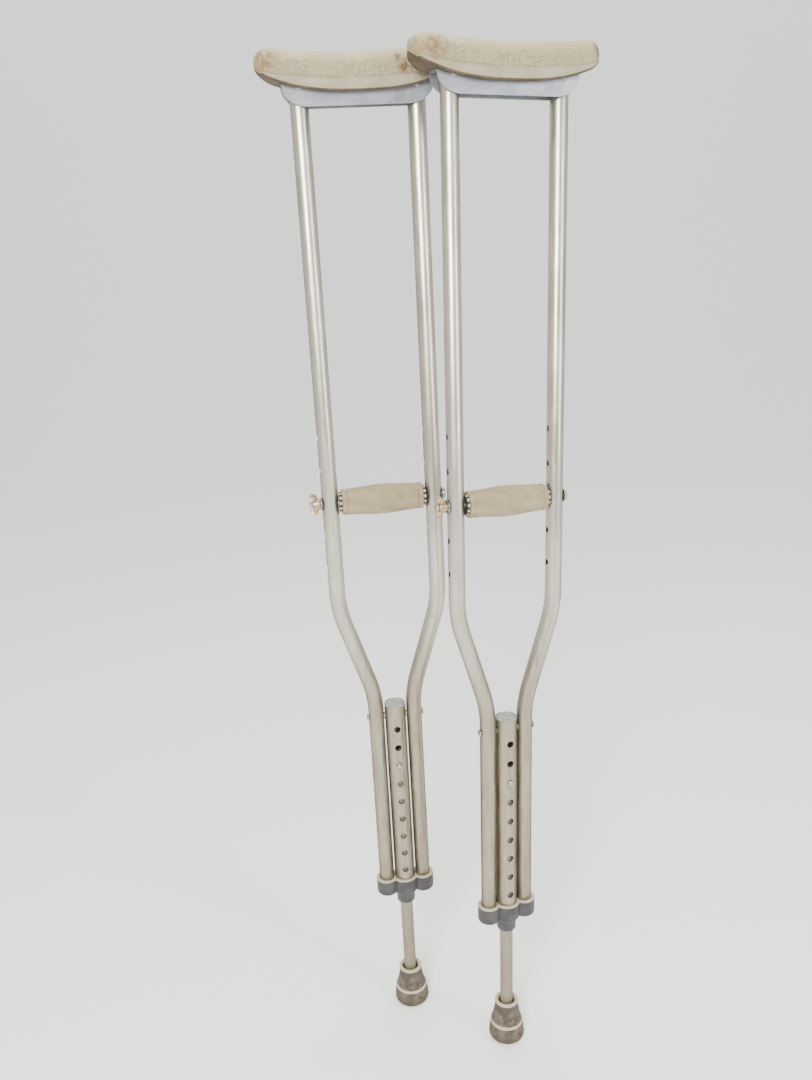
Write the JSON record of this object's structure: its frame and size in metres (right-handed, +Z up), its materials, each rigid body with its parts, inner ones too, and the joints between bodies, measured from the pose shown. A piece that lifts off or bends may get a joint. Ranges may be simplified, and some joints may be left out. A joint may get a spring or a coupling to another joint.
{
  "type": "pair of underarm crutches",
  "caption": "Pair of aluminium underarm crutches with padded tops, adjustable hand grips held by wing nuts, push-button telescoping legs and rubber tips.",
  "frame": {"origin": "centre of the bottom of the pair's bounding box, on the floor", "axes": "+Z up along the upright crutch, +X from the upright crutch towards the leaning one, -Y the front, where the snap buttons are"},
  "size_m": [0.3424, 0.1284, 1.1748],
  "materials": {
    "tube_aluminium": "satin anodised, lightly scuffed",
    "saddle_aluminium": "satin sheet",
    "zinc_steel": "zinc plated",
    "pad_rubber": "beige, pebbled, stained",
    "grip_foam": "beige closed-cell foam rubber",
    "tip_rubber": "grey-brown, worn pale at rim and ridge",
    "bracket_plastic": "dark grey moulded",
    "pale_plastic": "off-white moulded",
    "plug_plastic": "grey-green translucent"
  },
  "bodies": {
    "crutch_1_frame": {"underarm_pad_1": "pad_rubber", "saddle_1": "saddle_aluminium", "nut_side_bow_1": "tube_aluminium", "head_side_bow_1": "tube_aluminium", "saddle_rivet_a_1": "zinc_steel", "saddle_rivet_b_1": "zinc_steel", "center_tube_1": "tube_aluminium", "top_plug_1": "plug_plastic", "cross_rivet_1": "zinc_steel", "cross_spacer_a_1": "zinc_steel", "cross_spacer_b_1": "zinc_steel", "bottom_bracket_1": "bracket_plastic", "grip_sleeve_1": "grip_foam", "grip_core_1": "pale_plastic", "grip_bushing_a_1": "pale_plastic", "grip_bushing_b_1": "pale_plastic", "grip_bolt_1": "zinc_steel", "head_washer_1": "zinc_steel"},
    "leg_1": {"leg_tube_1": "tube_aluminium", "leg_guide_1": "pale_plastic", "snap_spring_1": "zinc_steel", "rubber_tip_1": "tip_rubber", "tip_washer_1": "zinc_steel"},
    "button_1": {"snap_button_1": "zinc_steel"},
    "washer_1": {"nut_washer_1": "zinc_steel"},
    "nut_1": {"wing_nut_1": "zinc_steel"},
    "crutch_2_frame": {"underarm_pad_2": "pad_rubber", "saddle_2": "saddle_aluminium", "nut_side_bow_2": "tube_aluminium", "head_side_bow_2": "tube_aluminium", "saddle_rivet_a_2": "zinc_steel", "saddle_rivet_b_2": "zinc_steel", "center_tube_2": "tube_aluminium", "top_plug_2": "plug_plastic", "cross_rivet_2": "zinc_steel", "cross_spacer_a_2": "zinc_steel", "cross_spacer_b_2": "zinc_steel", "bottom_bracket_2": "bracket_plastic", "grip_sleeve_2": "grip_foam", "grip_core_2": "pale_plastic", "grip_bushing_a_2": "pale_plastic", "grip_bushing_b_2": "pale_plastic", "grip_bolt_2": "zinc_steel", "head_washer_2": "zinc_steel"},
    "leg_2": {"leg_tube_2": "tube_aluminium", "leg_guide_2": "pale_plastic", "snap_spring_2": "zinc_steel", "rubber_tip_2": "tip_rubber", "tip_washer_2": "zinc_steel"},
    "button_2": {"snap_button_2": "zinc_steel"},
    "washer_2": {"nut_washer_2": "zinc_steel"},
    "nut_2": {"wing_nut_2": "zinc_steel"}
  },
  "joints": [
    {"name": "crutch_2_stand", "type": "slide", "parent": "crutch_1_frame", "child": "crutch_2_frame", "axis": [0, -1, 0], "range_m": [0, 0.3]},
    {"name": "leg_slide_1", "type": "slide", "parent": "crutch_1_frame", "child": "leg_1", "axis": [0, 0, 1], "range_m": [-0.1524, 0.0508], "deforming": ["snap_button_1", "snap_spring_1"]},
    {"name": "button_press_1", "type": "slide", "parent": "leg_1", "child": "button_1", "axis": [-0.1599, 0.9871, 0], "range_m": [0, 0.0045], "stiffness_N_per_m": 500, "deforming": ["snap_spring_1"]},
    {"name": "nut_travel_1", "type": "slide", "parent": "crutch_1_frame", "child": "washer_1", "axis": [-0.9871, -0.1599, 0], "range_m": [0, 0.00635]},
    {"name": "wing_nut_spin_1", "type": "hinge", "parent": "washer_1", "child": "nut_1", "pos_m": [-0.14539, 0.01606, 0.707], "axis": [-0.9871, -0.1599, 0], "range_deg": [0, 1800]},
    {"name": "leg_slide_2", "type": "slide", "parent": "crutch_2_frame", "child": "leg_2", "axis": [0.0214, 0.0523, 0.9984], "range_m": [-0.1524, 0.0508], "deforming": ["snap_button_2", "snap_spring_2"]},
    {"name": "button_press_2", "type": "slide", "parent": "leg_2", "child": "button_2", "axis": [-0.3216, 0.9459, -0.0427], "range_m": [0, 0.0045], "stiffness_N_per_m": 500, "deforming": ["snap_spring_2"]},
    {"name": "nut_travel_2", "type": "slide", "parent": "crutch_2_frame", "child": "washer_2", "axis": [-0.9466, -0.3202, 0.0371], "range_m": [0, 0.00635]},
    {"name": "wing_nut_spin_2", "type": "hinge", "parent": "washer_2", "child": "nut_2", "pos_m": [-0.00502, -0.029, 0.70978], "axis": [-0.9466, -0.3202, 0.0371], "range_deg": [0, 1800]}
  ],
  "couplings": [
    {"joint": "nut_travel_1", "follows": "wing_nut_spin_1", "m_per_rad": 0.0002021},
    {"joint": "nut_travel_2", "follows": "wing_nut_spin_2", "m_per_rad": 0.0002021}
  ]
}
